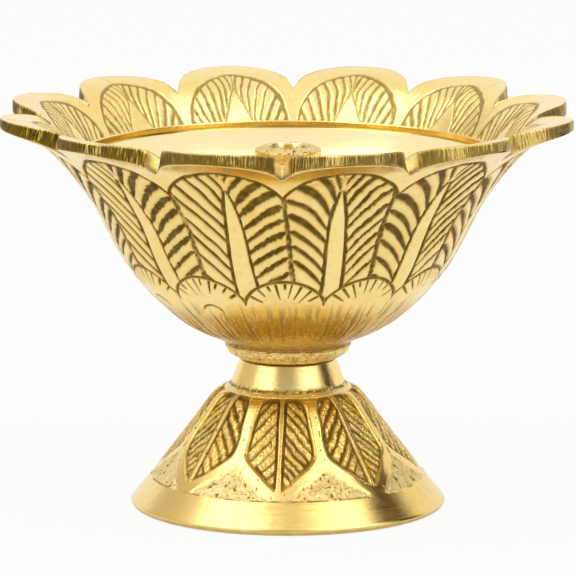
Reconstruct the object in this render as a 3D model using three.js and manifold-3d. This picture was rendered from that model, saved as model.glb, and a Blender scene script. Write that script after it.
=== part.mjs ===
// A footed brass oil lamp (diya): a carved bowl with twelve petals on a bell shaped foot.
// Millimetres and degrees, +Z up. The origin is the middle of the foot's standing face.
// Azimuth 0 is the front of the lamp, towards -Y, and azimuth 90 is its right side, towards +X.

import * as THREE from 'three';
import Module from 'manifold-3d';
import { mergeVertices } from 'three/addons/utils/BufferGeometryUtils.js';

const wasm = await Module();
wasm.setup();

// Clearances between pieces that seat on each other, and round the thread
const seatGap = 0.3;
const threadGap = 0.3;

// Stud, nut and washers: an M5 thread, with eight turns of it inside the wick post
const threadRadius = 2.5;
const threadPitch = 0.8;
const threadTurns = 8;
const studTail = 1.2;
const studChamfer = 0.5;
const nutAcrossFlats = 8.0;
const nutHeight = 4.0;
const nutChamfer = 0.5;
const washerRadius = 5.0;
const washerThickness = 1.0;
const sealThickness = 1.0;

// Foot: the bell, its plain turned band, and the wall round the hollow
const footRadius = 27.9;
const footEdgeHeight = 0.95;
const footEdgeTuck = 0.35;
const footRimWidth = 3.2;
const footBandHeight = 5.2;
const footBandRadius = 24.5;
const footWaistHeight = 13.2;
const footWaistRadius = 18.4;
const footShoulderHeight = 20.0;
const footShoulderRadius = 13.3;
const footCrownHeight = 21.1;
const footCrownRadius = 11.3;
const footWall = 2.4;

// Neck: the turned cone on top of the foot, with a hollow for the nut below its web
const neckLedge = 1.2;
const neckBaseRadius = 10.05;
const neckTopRadius = 8.55;
const neckHeight = 4.1;
const neckWeb = 3.5;
const neckHollowMargin = 1.4;

// Foot carving: leaves that point down, smooth ribbons between them, rough panels below.
// The bow of an edge, here and below, is an exponent: 1 draws it plain, and less draws it fuller.
const footLeafCount = 8;
const footTurn = -3.0;
const footTipMargin = 1.7;
const footLeafPoint = 6.0;
const footLeafMargin = 0.3;
const footRibbonWidth = 2.7;
const footRibbonDrop = 2.5;
const footMidribWidth = 1.1;
const footGroundDepth = 0.55;
const footPanelDepth = 0.35;
const footLeafBow = 1.0;

// Boss: the cast ring under the bowl that stands on the neck
const bossOverhang = 0.7;
const bossTopRadius = 11.15;
const bossHeight = 2.45;
const bossFullness = 0.65;
const bossGroove = 0.2;

// Bowl: radii of the outer skin, with heights above the underside of the boss
const bowlBaseRadius = 11.8;
const bowlBaseHeight = 3.3;
const bowlLowRadius = 20.0;
const bowlLowHeight = 7.7;
const bowlBellyRadius = 28.8;
const bowlBellyHeight = 17.4;
const bowlWaistRadius = 35.4;
const bowlWaistHeight = 29.3;
const bowlWall = 2.4;
const bowlFloorMargin = 2.6;

// Rim: petals cut from the flare, with a filed notch between two petals
const petalCount = 12;
const rimTipRadius = 51.7;
const rimNotchRadius = 43.5;
const rimTipHeight = 42.7;
const rimNotchHeight = 38.9;
const rimTipThickness = 1.8;
const rimNotchThickness = 3.8;
const petalFullness = 2.1;
const petalShoulder = 1.15;
const notchFacet = 1.0;

// Upright step inside the bowl, where the turned surface meets the carved flare
const stepSkinHeight = 34.6;
const stepWall = 2.1;
const stepDrop = 1.1;

// Bowl carving: twelve leaves under the petals, over a row of fan shells under the notches
const leafTipMargin = 2.7;
const leafNotchMargin = 4.2;
const bladeWidth = 3.3;
const bladeTipWidth = 0.5;
const bladeRise = 0.3;
const leafGrooveWidth = 0.7;
const leafGrooveDepth = 0.45;
const shellTopHeight = 18.7;
const shellSideHeight = 13.9;
const shellRootRise = 2.1;
const shellRise = 0.35;
const shellFluteDepth = 0.22;
const innerLeafMargin = 4.1;
const innerLeafDepth = 0.3;
const leafArchBow = 0.65;
const shellArchBow = 0.6;

// Wick post: a turned pillar with the flower head that holds the wick
const postHeight = 30.5;
const postBaseRadius = 6.0;
const postBaseHeight = 1.6;
const postWall = 1.8;
const postCrown = 2.3;
const postBeadRise = 0.3;
const postBeadHeight = 0.8;
const postStemRadius = 2.5;
const postTaper = 1.6;
const postFillet = 0.5;
const sealLip = 0.4;
const headRadius = 5.85;
const headHeight = 2.4;
const headBevel = 0.5;
const headRingWidth = 1.9;
const headRingRise = 0.3;
const cupLip = 0.4;
const cupDepth = 1.3;
const cupLobes = 6;
const cupLobeDepth = 0.45;
const cupLobeBow = 0.7;

// Facets round the turned and the carved surfaces
const plainSides = 60;
const smallSides = 24;
const lanesPerLeaf = 12;
const samplesPerPoint = 30;

// Rows of facets up the carved fields, as shares of the way from their lower to their upper edge
const footLeafRows = [0, 0.3, 0.6, 0.87, 1];
const shellRows = [0, 0.5, 1];
const leafRows = [0, 0.25, 0.5, 0.75, 1];

const degrees = Math.PI / 180;
const mix = THREE.MathUtils.lerp;

// Sizes and heights that follow from the ones above
const holeRadius = threadRadius + threadGap;
const neckFoot = footCrownHeight + neckLedge;
const neckTop = neckFoot + neckHeight;
const webUnderside = neckTop - neckWeb;
const washerUnderside = webUnderside - seatGap - washerThickness;
const nutUnderside = washerUnderside - seatGap - nutHeight;
const studUnderside = nutUnderside - studTail;
const bossUnderside = neckTop + seatGap;
const floorHeight = bowlBaseHeight + bowlWall;
const sealUnderside = bossUnderside + floorHeight + seatGap;
const postUnderside = sealUnderside + sealThickness + seatGap;
const sealRadius = postBaseRadius + sealLip;
const threadLength = threadPitch * threadTurns;
const halfPetal = 180 / petalCount;
const halfFootLeaf = 180 / footLeafCount;

// A smooth outline through [radius, height] points, read at a height, with its outward normal.
function smoothOutline(points) {
  const curve = new THREE.SplineCurve(points.map(([radius, height]) => new THREE.Vector2(radius, height)));
  const samples = curve.getPoints(samplesPerPoint * points.length);
  const at = (height) => {
    let upper = samples.findIndex((sample) => sample.y >= height);
    upper = upper < 0 ? samples.length - 1 : Math.max(upper, 1);
    const low = samples[upper - 1];
    const high = samples[upper];
    const share = (height - low.y) / (high.y - low.y);
    const along = high.clone().sub(low).normalize();
    return { radius: mix(low.x, high.x, share), height, normal: new THREE.Vector2(along.y, -along.x) };
  };
  const heightAt = (radius) => {
    let upper = samples.findIndex((sample) => sample.x >= radius);
    upper = upper < 0 ? samples.length - 1 : Math.max(upper, 1);
    const share = (radius - samples[upper - 1].x) / (samples[upper].x - samples[upper - 1].x);
    return mix(samples[upper - 1].y, samples[upper].y, share);
  };
  // A point of the skin, pushed out by a relief or in by a wall, as [radius, height].
  const offset = (height, out) => {
    const { radius, normal } = at(height);
    return [radius + out * normal.x, height + out * normal.y];
  };
  return { at, heightAt, offset };
}

// One ring of points [azimuth, radius, height], at equal steps round the axis.
function plainRing(sides, turn, radius, height) {
  return Array.from({ length: sides }, (_, side) => [turn + (360 * side) / sides, radius, height]);
}

// One ring of a carved surface. Each motif has lanes on both sides of its middle line.
// place(lane) gives [angle from the middle line, radius, height], from lane 0 to half the lanes.
function carvedRing(motifs, turn, place) {
  const half = lanesPerLeaf / 2;
  const ring = [];
  for (let motif = 0; motif < motifs; motif += 1) {
    const middle = turn + (360 * (motif + 0.5)) / motifs;
    for (let lane = half; lane > -half; lane -= 1) {
      const [angle, radius, height] = place(Math.abs(lane));
      ring.push([middle - Math.sign(lane) * angle, radius, height]);
    }
  }
  return ring;
}

// A single point on the axis, which closes a body at its end.
function pole(height) {
  return [[0, 0, height]];
}

// Joins two neighbouring rings with triangles and adds them to the index.
function stitch(lower, upper, lowerStart, upperStart, index) {
  const lowerCount = lower.length;
  const upperCount = upper.length;
  if (lowerCount === upperCount) {
    for (let side = 0; side < lowerCount; side += 1) {
      const next = (side + 1) % lowerCount;
      index.push(lowerStart + side, lowerStart + next, upperStart + next);
      index.push(lowerStart + side, upperStart + next, upperStart + side);
    }
    return;
  }
  const azimuth = (ring, side) => ring[side % ring.length][0] + 360 * Math.floor(side / ring.length);
  const lowerSteps = lowerCount > 1 ? lowerCount : 0;
  const upperSteps = upperCount > 1 ? upperCount : 0;
  let a = 0;
  let b = 0;
  while (a < lowerSteps || b < upperSteps) {
    const lowerTurn = a < lowerSteps ? azimuth(lower, a + 1) + azimuth(lower, a) : Infinity;
    const upperTurn = b < upperSteps ? azimuth(upper, b + 1) + azimuth(upper, b) : Infinity;
    const from = lowerStart + (a % lowerCount);
    const to = upperStart + (b % upperCount);
    if (lowerTurn <= upperTurn) {
      index.push(from, lowerStart + ((a + 1) % lowerCount), to);
      a += 1;
    } else {
      index.push(from, upperStart + ((b + 1) % upperCount), to);
      b += 1;
    }
  }
}

// A closed body from rings that run up its outside and down its inside.
// A body without poles at its ends is closed round its bore.
function ringBody(rings) {
  const starts = [];
  const positions = [];
  for (const ring of rings) {
    starts.push(positions.length / 3);
    for (const [azimuth, radius, height] of ring) {
      const angle = azimuth * degrees;
      positions.push(radius * Math.sin(angle), -radius * Math.cos(angle), height);
    }
  }
  const index = [];
  for (let row = 0; row + 1 < rings.length; row += 1) {
    stitch(rings[row], rings[row + 1], starts[row], starts[row + 1], index);
  }
  const last = rings.length - 1;
  if (rings[0].length > 1 && rings[last].length > 1) {
    stitch(rings[last], rings[0], starts[last], starts[0], index);
  }
  const geometry = new THREE.BufferGeometry();
  geometry.setAttribute('position', new THREE.Float32BufferAttribute(positions, 3));
  geometry.setIndex(index);
  geometry.computeVertexNormals();
  return geometry;
}

function solidFrom(geometry) {
  const bare = geometry.clone();
  bare.deleteAttribute('normal');
  bare.deleteAttribute('uv');
  const merged = mergeVertices(bare, 1e-4);
  return new wasm.Manifold(new wasm.Mesh({
    numProp: 3,
    vertProperties: new Float32Array(merged.attributes.position.array),
    triVerts: new Uint32Array(merged.index.array),
  }));
}

function geometryFrom(solid) {
  const mesh = solid.getMesh();
  const geometry = new THREE.BufferGeometry();
  geometry.setAttribute('position', new THREE.BufferAttribute(new Float32Array(mesh.vertProperties), 3));
  geometry.setIndex(new THREE.BufferAttribute(new Uint32Array(mesh.triVerts), 1));
  geometry.computeVertexNormals();
  return geometry;
}

// Outer skins of the foot and of the bowl

const footSkin = smoothOutline([
  [footRadius, footEdgeHeight],
  [footBandRadius, footBandHeight],
  [footWaistRadius, footWaistHeight],
  [footShoulderRadius, footShoulderHeight],
  [footCrownRadius, footCrownHeight],
]);

const bowlSkin = smoothOutline([
  [bowlBaseRadius, bowlBaseHeight],
  [bowlLowRadius, bowlLowHeight],
  [bowlBellyRadius, bowlBellyHeight],
  [bowlWaistRadius, bowlWaistHeight],
  [rimNotchRadius, rimNotchHeight],
  [rimTipRadius, rimTipHeight],
]);

// Inside of the flare, from the step to the upper edge of the petals' tips
const [stepRadius, stepHeight] = bowlSkin.offset(stepSkinHeight, -stepWall);
const flareSkin = smoothOutline([
  [stepRadius, stepHeight],
  [rimNotchRadius, rimNotchHeight + rimNotchThickness],
  [rimTipRadius, rimTipHeight + rimTipThickness],
]);

// Foot

const footLeafTip = footBandHeight + footTipMargin;
const footLeafTop = footCrownHeight - footLeafMargin;

// Width of a strip on a skin, in degrees, at a height.
function stripAngle(skin, width, height) {
  return width / skin.at(height).radius / degrees;
}

// Height of the leaf's lower edge at an angle from its middle line: a point that opens upwards.
function footLeafEdge(angle) {
  return footLeafTip + footLeafPoint * (angle / halfFootLeaf) ** footLeafBow;
}

// Angles of the lanes of a foot leaf: midrib, ground, vein field, leaf edge and ribbon.
function footLaneAngle(lane, height) {
  const side = halfFootLeaf - stripAngle(footSkin, footRibbonWidth / 2, height);
  const rib = stripAngle(footSkin, footMidribWidth / 2, height);
  const slope = stripAngle(footSkin, footGroundDepth, height);
  return [0, rib, rib + slope, (rib + side) / 2, side - slope, side, halfFootLeaf][lane];
}

// Depths of the lanes inside a foot leaf, as shares of the ground's depth. The ribbon stays full.
const footLeafDepths = [0, 0, 1, 0.5, 1, 0, 0];

// Lanes that cross a rough panel, below the ribbons. Under a leaf's tip there is no panel.
const footPanelLanes = [0, 0, 0, 1, 1, 1, 1];

// A ring of the carved foot, from each lane's angle, height and relief.
function footRing(place) {
  return carvedRing(footLeafCount, footTurn - halfFootLeaf, (lane) => {
    const { angle, height, relief } = place(lane);
    return [angle, ...footSkin.offset(height, relief)];
  });
}

// A ring through the vein fields, at a share of the way from a leaf's lower edge to its top.
function footLeafRing(share) {
  return footRing((lane) => {
    const angle = footLaneAngle(lane, mix(footLeafTip, footLeafTop, share));
    const low = footLeafEdge(angle) + footGroundDepth;
    const height = mix(low, footLeafTop - footGroundDepth, share);
    return { angle, height, relief: -footGroundDepth * footLeafDepths[lane] };
  });
}

// A ring along the ribbon round the leaf's point. The drop is its way down across the ribbon,
// which stops at a rise above the plain band, where the two ribbons of a leaf meet.
function footRibbonRing(drop, rise, depth) {
  return footRing((lane) => {
    const angle = footLaneAngle(lane, footLeafTip);
    const height = Math.max(footLeafEdge(angle) - drop, footBandHeight + rise);
    return { angle, height, relief: -depth * footPanelLanes[lane] };
  });
}

function footLevelRing(height, depth) {
  return footRing((lane) => ({
    angle: footLaneAngle(lane, height),
    height,
    relief: -depth * footPanelLanes[lane],
  }));
}

function footGeometry() {
  const turn = footTurn - halfFootLeaf;
  const circle = (radius, height) => plainRing(plainSides, turn, radius, height);
  const hole = (height) => plainRing(smallSides, turn, holeRadius, height);
  const skin = (height) => circle(footSkin.at(height).radius, height);
  const inside = (height) => circle(...footSkin.offset(height, -footWall));
  const neckHollowRadius = washerRadius + neckHollowMargin;
  return ringBody([
    circle(footRadius - footRimWidth, 0),
    circle(footRadius - footEdgeTuck, 0),
    circle(footRadius, footEdgeHeight),
    skin(mix(footEdgeHeight, footBandHeight, 1 / 3)),
    skin(mix(footEdgeHeight, footBandHeight, 2 / 3)),
    footLevelRing(footBandHeight, 0),
    footLevelRing(footBandHeight + footPanelDepth / 2, footPanelDepth),
    footRibbonRing(footRibbonDrop + footPanelDepth, footPanelDepth, footPanelDepth),
    footRibbonRing(footRibbonDrop, 2 * footPanelDepth, 0),
    footRibbonRing(0, 3 * footPanelDepth, 0),
    ...footLeafRows.map(footLeafRing),
    footLevelRing(footLeafTop, 0),
    circle(footCrownRadius, footCrownHeight),
    circle(neckBaseRadius, neckFoot),
    circle(neckTopRadius, neckTop),
    hole(neckTop),
    hole(webUnderside),
    circle(neckHollowRadius, webUnderside),
    circle(neckHollowRadius, footShoulderHeight - footWall / 2),
    inside((footWaistHeight + footShoulderHeight) / 2),
    inside(footWaistHeight),
    inside((footBandHeight + footWaistHeight) / 2),
    inside(footBandHeight - footWall / 2),
  ]);
}

// Bowl

// Share of the petal's reach at an angle from its middle line: 1 at the tip, 0 in the notch.
function petalReach(angle) {
  return (1 - (angle / halfPetal) ** petalFullness) ** petalShoulder;
}

// Lanes along the rim, as shares of half a petal: closer where the petal curves into its notch.
const rimLanes = [0, 0.22, 0.42, 0.6, 0.76, 0.9, 1];

// A ring whose lanes follow the petal. place(reach, angle, lane) gives [radius, height].
function rimRing(place) {
  return carvedRing(petalCount, 0, (lane) => {
    const angle = rimLanes[lane] * halfPetal;
    return [angle, ...place(petalReach(angle), angle, lane)];
  });
}

// Lower edge of the rim's cut face, on the outer skin.
function rimLowerEdge(reach) {
  const radius = mix(rimNotchRadius, rimTipRadius, reach);
  return [radius, bowlSkin.heightAt(radius)];
}

// Upper edge of the cut face, where it meets the inner flare. In a notch it lies further in,
// so the filed notch leans back.
function rimUpperEdge(reach) {
  const radius = mix(rimNotchRadius - notchFacet, rimTipRadius, reach);
  return [radius, flareSkin.heightAt(radius)];
}

// Height of the arch over an outer leaf, at an angle from the leaf's middle line.
function leafArch(angle) {
  const side = rimNotchHeight - leafNotchMargin;
  const tip = rimTipHeight - leafTipMargin;
  return mix(side, tip, Math.cos((angle / halfPetal) * 90 * degrees) ** leafArchBow);
}

// Height of the arch over the fan shells, which stand under the notches.
function shellArch(angle) {
  const fullness = Math.sin((angle / halfPetal) * 90 * degrees) ** shellArchBow;
  return mix(shellSideHeight, shellTopHeight, fullness);
}

// Lanes inside a vein field, as shares of the way from the blade's groove to the leaf's edge
const veinLanes = [0.35, 0.7];

// Angles of the lanes in an outer leaf: blade, groove, vein field, leaf edge and parting groove.
function leafLaneAngle(lane, share, height) {
  const blade = stripAngle(bowlSkin, mix(bladeWidth, bladeTipWidth, share) / 2, height);
  const groove = stripAngle(bowlSkin, leafGrooveWidth, height);
  const field = blade + groove;
  const side = halfPetal - groove;
  const veins = veinLanes.map((lanePlace) => mix(field, side, lanePlace));
  return [0, blade, field, ...veins, side, halfPetal][lane];
}

const leafReliefs = [bladeRise, bladeRise / 2, -leafGrooveDepth, 0, 0, 0, -leafGrooveDepth];

// A ring through the outer leaves, at a share of the way from the shells to the arches.
function leafRing(share) {
  return carvedRing(petalCount, 0, (lane) => {
    const angle = leafLaneAngle(lane, share, mix(shellTopHeight, rimNotchHeight, share));
    const low = shellArch(angle) + leafGrooveWidth;
    const height = mix(low, leafArch(angle) - leafGrooveWidth, share);
    return [angle, ...bowlSkin.offset(height, leafReliefs[lane])];
  });
}

// A ring along an arch, at a rise above it, with one relief all round.
function archRing(arch, rise, relief) {
  return rimRing((reach, angle) => bowlSkin.offset(arch(angle) + rise, relief));
}

// A ring through the fan shells: fluted and crowned towards the arch, and parted under the leaves.
function shellRing(share) {
  return carvedRing(petalCount, 0, (lane) => {
    const angle = (lane * 2 * halfPetal) / lanesPerLeaf;
    const root = bowlLowHeight + shellRootRise;
    const height = mix(root, shellArch(angle) - leafGrooveWidth, share);
    const crown = shellRise * Math.sin((angle / halfPetal) * 90 * degrees);
    const flute = lane % 2 === 0 ? shellFluteDepth : 0;
    const parting = lane === 0 ? shellRise : 0;
    return [angle, ...bowlSkin.offset(height, share * (crown - flute - parting))];
  });
}

// A ring of the inner flare, at a share of the way from the step to the tips of the inner leaves.
// The leaf fields are sunk by their depth, and the flare between two leaves is left full.
function flareRing(share, sunkLanes) {
  return rimRing((reach, angle, lane) => {
    const notch = rimNotchRadius - notchFacet;
    const leafTip = mix(notch, rimTipRadius - innerLeafMargin, reach) - leafGrooveWidth;
    const radius = mix(stepRadius, leafTip, share);
    const depth = sunkLanes.includes(lane) ? innerLeafDepth : 0;
    return [radius, flareSkin.heightAt(radius) - depth];
  });
}

function bowlGeometry() {
  const circle = (radius, height) => plainRing(plainSides, 0, radius, height);
  const hole = (height) => plainRing(smallSides, 0, holeRadius, height);
  const skin = (height) => circle(bowlSkin.at(height).radius, height);
  const inside = (height) => circle(...bowlSkin.offset(height, -bowlWall));
  const bossBottomRadius = neckTopRadius + bossOverhang;
  return ringBody([
    circle(bossBottomRadius, 0),
    circle(mix(bossBottomRadius, bossTopRadius, bossFullness), bossHeight / 2),
    circle(bossTopRadius, bossHeight),
    circle(bossTopRadius - bossGroove, (bossHeight + bowlBaseHeight) / 2),
    skin(bowlBaseHeight),
    skin(bowlLowHeight),
    ...shellRows.map(shellRing),
    archRing(shellArch, 0, -leafGrooveDepth),
    ...leafRows.map(leafRing),
    archRing(leafArch, 0, -leafGrooveDepth),
    archRing(leafArch, leafGrooveWidth, 0),
    rimRing(rimLowerEdge),
    rimRing(rimUpperEdge),
    flareRing(1, []),
    flareRing(0.9, [0, 1, 2, 3, 4]),
    flareRing(0.5, [1, 2, 3, 4]),
    flareRing(0, [2, 3, 4]),
    circle(stepRadius, stepHeight - stepDrop),
    inside(bowlWaistHeight),
    inside((bowlBellyHeight + bowlWaistHeight) / 2),
    inside(bowlBellyHeight),
    inside((bowlLowHeight + bowlBellyHeight) / 2),
    inside(bowlLowHeight),
    circle(sealRadius + bowlFloorMargin, floorHeight),
    hole(floorHeight),
    hole(0),
  ]);
}

// Wick post

function wickPostGeometry() {
  const sides = 2 * smallSides;
  const circle = (radius, height) => plainRing(sides, 0, radius, height);
  const hole = (height) => plainRing(smallSides, 0, holeRadius, height);
  const boreTop = threadLength + seatGap + studChamfer;
  const barrelRadius = holeRadius + postWall;
  const barrelTop = boreTop + postCrown;
  const beadRadius = barrelRadius + postBeadRise;
  const headUnderside = postHeight - headHeight;
  const cupRadius = headRadius - headRingWidth - cupLip;
  const lobes = (radius, depth, height) => circle(radius, height).map(([azimuth]) => {
    const lobe = Math.abs(Math.cos((azimuth * degrees * cupLobes) / 2)) ** cupLobeBow;
    return [azimuth, radius - depth * lobe, height];
  });
  return ringBody([
    pole(boreTop),
    hole(boreTop),
    hole(0),
    circle(postBaseRadius, 0),
    circle(postBaseRadius, postBaseHeight),
    circle(barrelRadius, postBaseHeight + postFillet),
    circle(barrelRadius, barrelTop - postBeadHeight - postFillet),
    circle(beadRadius, barrelTop - postBeadHeight),
    circle(beadRadius, barrelTop),
    circle((postStemRadius + beadRadius) / 2, barrelTop + postFillet),
    circle(postStemRadius, barrelTop + postTaper),
    circle(postStemRadius, headUnderside - postTaper),
    circle((postStemRadius + headRadius) / 2, headUnderside - postFillet),
    circle(headRadius - headBevel, headUnderside),
    circle(headRadius, headUnderside + headBevel),
    circle(headRadius, postHeight - headRingRise - headBevel),
    circle(headRadius - headBevel, postHeight - headRingRise),
    circle(headRadius - headRingWidth, postHeight),
    lobes(cupRadius, 0, postHeight - headRingRise),
    lobes(cupRadius - cupLip, cupLobeDepth, postHeight - cupDepth),
    lobes(cupRadius / 2, 0, postHeight - cupDepth - cupLip),
    pole(postHeight - cupDepth - cupLip),
  ]);
}

// Washers, nut and stud

function washerGeometry(outerRadius, thickness) {
  const profile = [
    [holeRadius, 0],
    [outerRadius, 0],
    [outerRadius, thickness],
    [holeRadius, thickness],
  ];
  return ringBody(profile.map(([radius, height]) => plainRing(2 * smallSides, 0, radius, height)));
}

// A hexagon prism with a round hole, its corners cut by a crowned disc at both ends.
function nutGeometry() {
  const cornerRadius = nutAcrossFlats / Math.sqrt(3);
  const corners = Array.from({ length: 6 }, (_, corner) => {
    const angle = corner * 60 * degrees;
    return new THREE.Vector2(Math.cos(angle), Math.sin(angle)).multiplyScalar(cornerRadius);
  });
  const outline = new THREE.Shape(corners);
  const hole = new THREE.Path();
  hole.absarc(0, 0, holeRadius, 0, 2 * Math.PI, true);
  outline.holes.push(hole);
  const prism = new THREE.ExtrudeGeometry(outline, {
    depth: nutHeight,
    bevelEnabled: false,
    curveSegments: smallSides,
  });
  const circle = (radius, height) => plainRing(2 * smallSides, 0, radius, height);
  const crown = ringBody([
    pole(0),
    circle(cornerRadius - nutChamfer, 0),
    circle(cornerRadius + nutChamfer, nutChamfer),
    circle(cornerRadius + nutChamfer, nutHeight - nutChamfer),
    circle(cornerRadius - nutChamfer, nutHeight),
    pole(nutHeight),
  ]);
  return geometryFrom(solidFrom(prism).intersect(solidFrom(crown)));
}

function studGeometry(length) {
  const circle = (radius, height) => plainRing(smallSides, 0, radius, height);
  return ringBody([
    pole(0),
    circle(threadRadius - studChamfer, 0),
    circle(threadRadius, studChamfer),
    circle(threadRadius, length - studChamfer),
    circle(threadRadius - studChamfer, length),
    pole(length),
  ]);
}

// The pieces, each named and placed at its height

function brass(color, roughness) {
  return new THREE.MeshStandardMaterial({ color, roughness, metalness: 1 });
}

function fibre() {
  return new THREE.MeshStandardMaterial({ color: 0x6b3a22, roughness: 0.85, metalness: 0 });
}

function piece(name, geometry, material, height) {
  const mesh = new THREE.Mesh(geometry, material);
  mesh.name = name;
  mesh.position.z = height;
  return mesh;
}

const studLength = postUnderside + threadLength - studUnderside;

const diya = new THREE.Group();
diya.name = 'diya';
diya.add(
  piece('foot', footGeometry(), brass(0xdcb04a, 0.28), 0),
  piece('bowl', bowlGeometry(), brass(0xe6bd5c, 0.25), bossUnderside),
  piece('wick_post', wickPostGeometry(), brass(0xd9ae4e, 0.35), postUnderside),
  piece('tie_stud', studGeometry(studLength), brass(0xc9a24a, 0.4), studUnderside),
  piece('hex_nut', nutGeometry(), brass(0xcaa347, 0.4), nutUnderside),
  piece('flat_washer', washerGeometry(washerRadius, washerThickness), brass(0xcaa347, 0.4), washerUnderside),
  piece('oil_seal', washerGeometry(sealRadius, sealThickness), fibre(), sealUnderside),
);

export default diya;
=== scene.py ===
import math

import bpy
import numpy as np
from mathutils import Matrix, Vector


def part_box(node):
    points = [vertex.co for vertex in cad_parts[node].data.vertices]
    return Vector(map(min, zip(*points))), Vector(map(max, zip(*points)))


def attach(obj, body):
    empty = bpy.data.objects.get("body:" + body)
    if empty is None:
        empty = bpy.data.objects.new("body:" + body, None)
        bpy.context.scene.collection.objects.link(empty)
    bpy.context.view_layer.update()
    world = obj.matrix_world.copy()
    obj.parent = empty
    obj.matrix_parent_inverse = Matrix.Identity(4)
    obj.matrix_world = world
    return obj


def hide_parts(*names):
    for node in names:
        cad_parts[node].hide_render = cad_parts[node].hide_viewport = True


# Looks of a footed brass oil lamp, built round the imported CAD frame.
# Lengths here are millimetres and angles are degrees, until a mesh is made in metres. The lights,
# the cards, the floor, the bumps of the materials and the camera's clipping are in metres.
# Azimuth 0 is the lamp's front, towards -Y, and azimuth 90 is its right side, towards +X.

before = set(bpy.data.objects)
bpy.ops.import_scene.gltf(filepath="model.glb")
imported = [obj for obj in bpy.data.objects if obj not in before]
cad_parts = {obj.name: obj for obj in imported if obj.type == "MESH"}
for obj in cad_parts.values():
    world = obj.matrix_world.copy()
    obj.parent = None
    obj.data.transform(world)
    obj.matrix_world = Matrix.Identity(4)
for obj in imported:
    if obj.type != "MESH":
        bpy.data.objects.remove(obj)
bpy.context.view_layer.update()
MM = 0.001


def level(node, end):
    """Lowest (end 0) or highest (end 1) point of a CAD node, in millimetres."""
    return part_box(node)[end].z / MM


# Heights and radii that the frame gives
NECK_TOP = level("foot", 1)
BOSS = level("bowl", 0)
POST = level("wick_post", 0)
POST_HEIGHT = level("wick_post", 1) - POST
POST_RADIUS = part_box("wick_post")[1].x / MM
SEAL_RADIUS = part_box("oil_seal")[1].x / MM

# The stud's holes, the castings' walls, and the foot's web with the hollow under it, as in the CAD
HOLE_RADIUS = 2.8
WALL = 2.4
WEB, WEB_HOLLOW_RADIUS = 3.5, 6.4

# Bowl: [radius, height above the boss's underside] along the outer skin, as in the CAD source
BOWL_POINTS = [(11.8, 3.3), (20.0, 7.7), (28.8, 17.4), (35.4, 29.3), (43.5, 38.9), (51.7, 42.7)]
NOTCH_RADIUS, NOTCH_HEIGHT, NOTCH_THICKNESS, NOTCH_FACET = 43.5, 38.9, 3.8, 1.0
TIP_RADIUS, TIP_HEIGHT, TIP_THICKNESS = 51.7, 42.7, 1.8
PETALS = 12
PETAL_FULLNESS, PETAL_SHOULDER = 2.1, 1.15
STEP_SKIN_HEIGHT, STEP_WALL, STEP_DROP = 34.6, 2.1, 1.1
BOSS_RADIUS, BOSS_HEIGHT, BOSS_FOOT_RADIUS = 11.15, 2.45, 9.25

# How far the bowl's flat floor runs out beyond the seal
SEAT_MARGIN = 2.6

# Carving of the bowl: the two rows of arches, the leaves' blades, the shells' strokes and the leaves
# on the flare, with the depths of the cuts
LEAF_ARCH_SIDE, LEAF_ARCH_TOP, LEAF_ARCH_BOW = 34.7, 40.0, 0.65
SHELL_ARCH_SIDE, SHELL_ARCH_TOP, SHELL_ARCH_BOW = 13.9, 18.7, 0.6
BLADE_FOOT, BLADE_LENGTH, BLADE_HALF_WIDTH, BLADE_CUT_TOP = 15, 21.4, 1.55, 36.3
SHELL_ROOT, SHELL_SPACING, SHELL_STROKE_LEAN, SHELL_CROWN = 12.4, 15.0, (62, 70), 0.3
INNER_LEAF_ANGLE, INNER_LEAF_LENGTH = 13.3, 8.1
CARVING_FLOOR = 9.0
CUT_DEPTH, INNER_CUT_DEPTH = 0.36, 0.25

# A smooth edge would stand this far outside the CAD's facets, so it is drawn in by as much
FACET_BULGE = 0.03

# How much shorter each petal is than the longest one, in order from azimuth 15 round the lamp
PETAL_LOSS = [0.4, 0.3, 0.0, 0.9, 0.4, 0.8, 0.9, 1.3, 0.9, 0.0, 0.3, 0.4]

# Sideways lean of the chiselled leaf lines near the front, in millimetres, at their feet and tips
LEAN_AZIMUTH = [-60, -45, -30, -15, 0, 15, 30, 45, 60]
LEAN_FOOT = [0.0, 0.8, 1.5, 0.9, 1.9, 0.7, -0.2, -0.6, 0.0]
LEAN_TIP = [0.0, 0.2, 0.3, 0.6, 0.2, -0.2, -0.8, -0.3, 0.0]

# Foot: [radius, height] along the outer skin, as in the CAD source
FOOT_POINTS = [(27.9, 0.95), (24.5, 5.2), (18.4, 13.2), (13.3, 20.0), (11.3, 21.1)]
FOOT_BAND, FOOT_SHOULDER, FOOT_CROWN = 5.2, 20.0, 21.1
FOOT_LEAVES, FOOT_TURN = 8, -3.0
NECK_FOOT, NECK_BASE_RADIUS, NECK_TOP_RADIUS = 22.3, 10.05, 8.55

# Heights over which the noise of the two carvings is spread
BOWL_SPAN, FOOT_SPAN = 45, 22

# Rows of points in the bands of the bowl, the foot and the post, and columns round each petal, each
# leaf of the foot and the whole post
BOWL_ROWS, EDGE_ROWS, FLARE_ROWS = 215, 14, 74
BAND_ROWS, BELL_ROWS, LEDGE_ROWS, NECK_ROWS = 14, 126, 10, 36
HEAD_ROWS, RING_ROWS, CUP_ROWS = 12, 16, 9
PETAL_COLUMNS, FOOT_LEAF_COLUMNS, POST_COLUMNS = 120, 150, 240

HALF_PETAL = 180 / PETALS
HALF_FOOT_LEAF = 180 / FOOT_LEAVES


# Plain mathematics for the carved surfaces

def mix(a, b, share):
    return a + (b - a) * share


def smooth(low, high, x):
    """0 below low, 1 above high, and a smooth step between them."""
    t = np.clip((x - low) / (high - low), 0, 1)
    return t * t * (3 - 2 * t)


def shares(count):
    """Even steps from 0 to 1, one for each row of a band."""
    return np.linspace(0, 1, count)[:, None]


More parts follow.
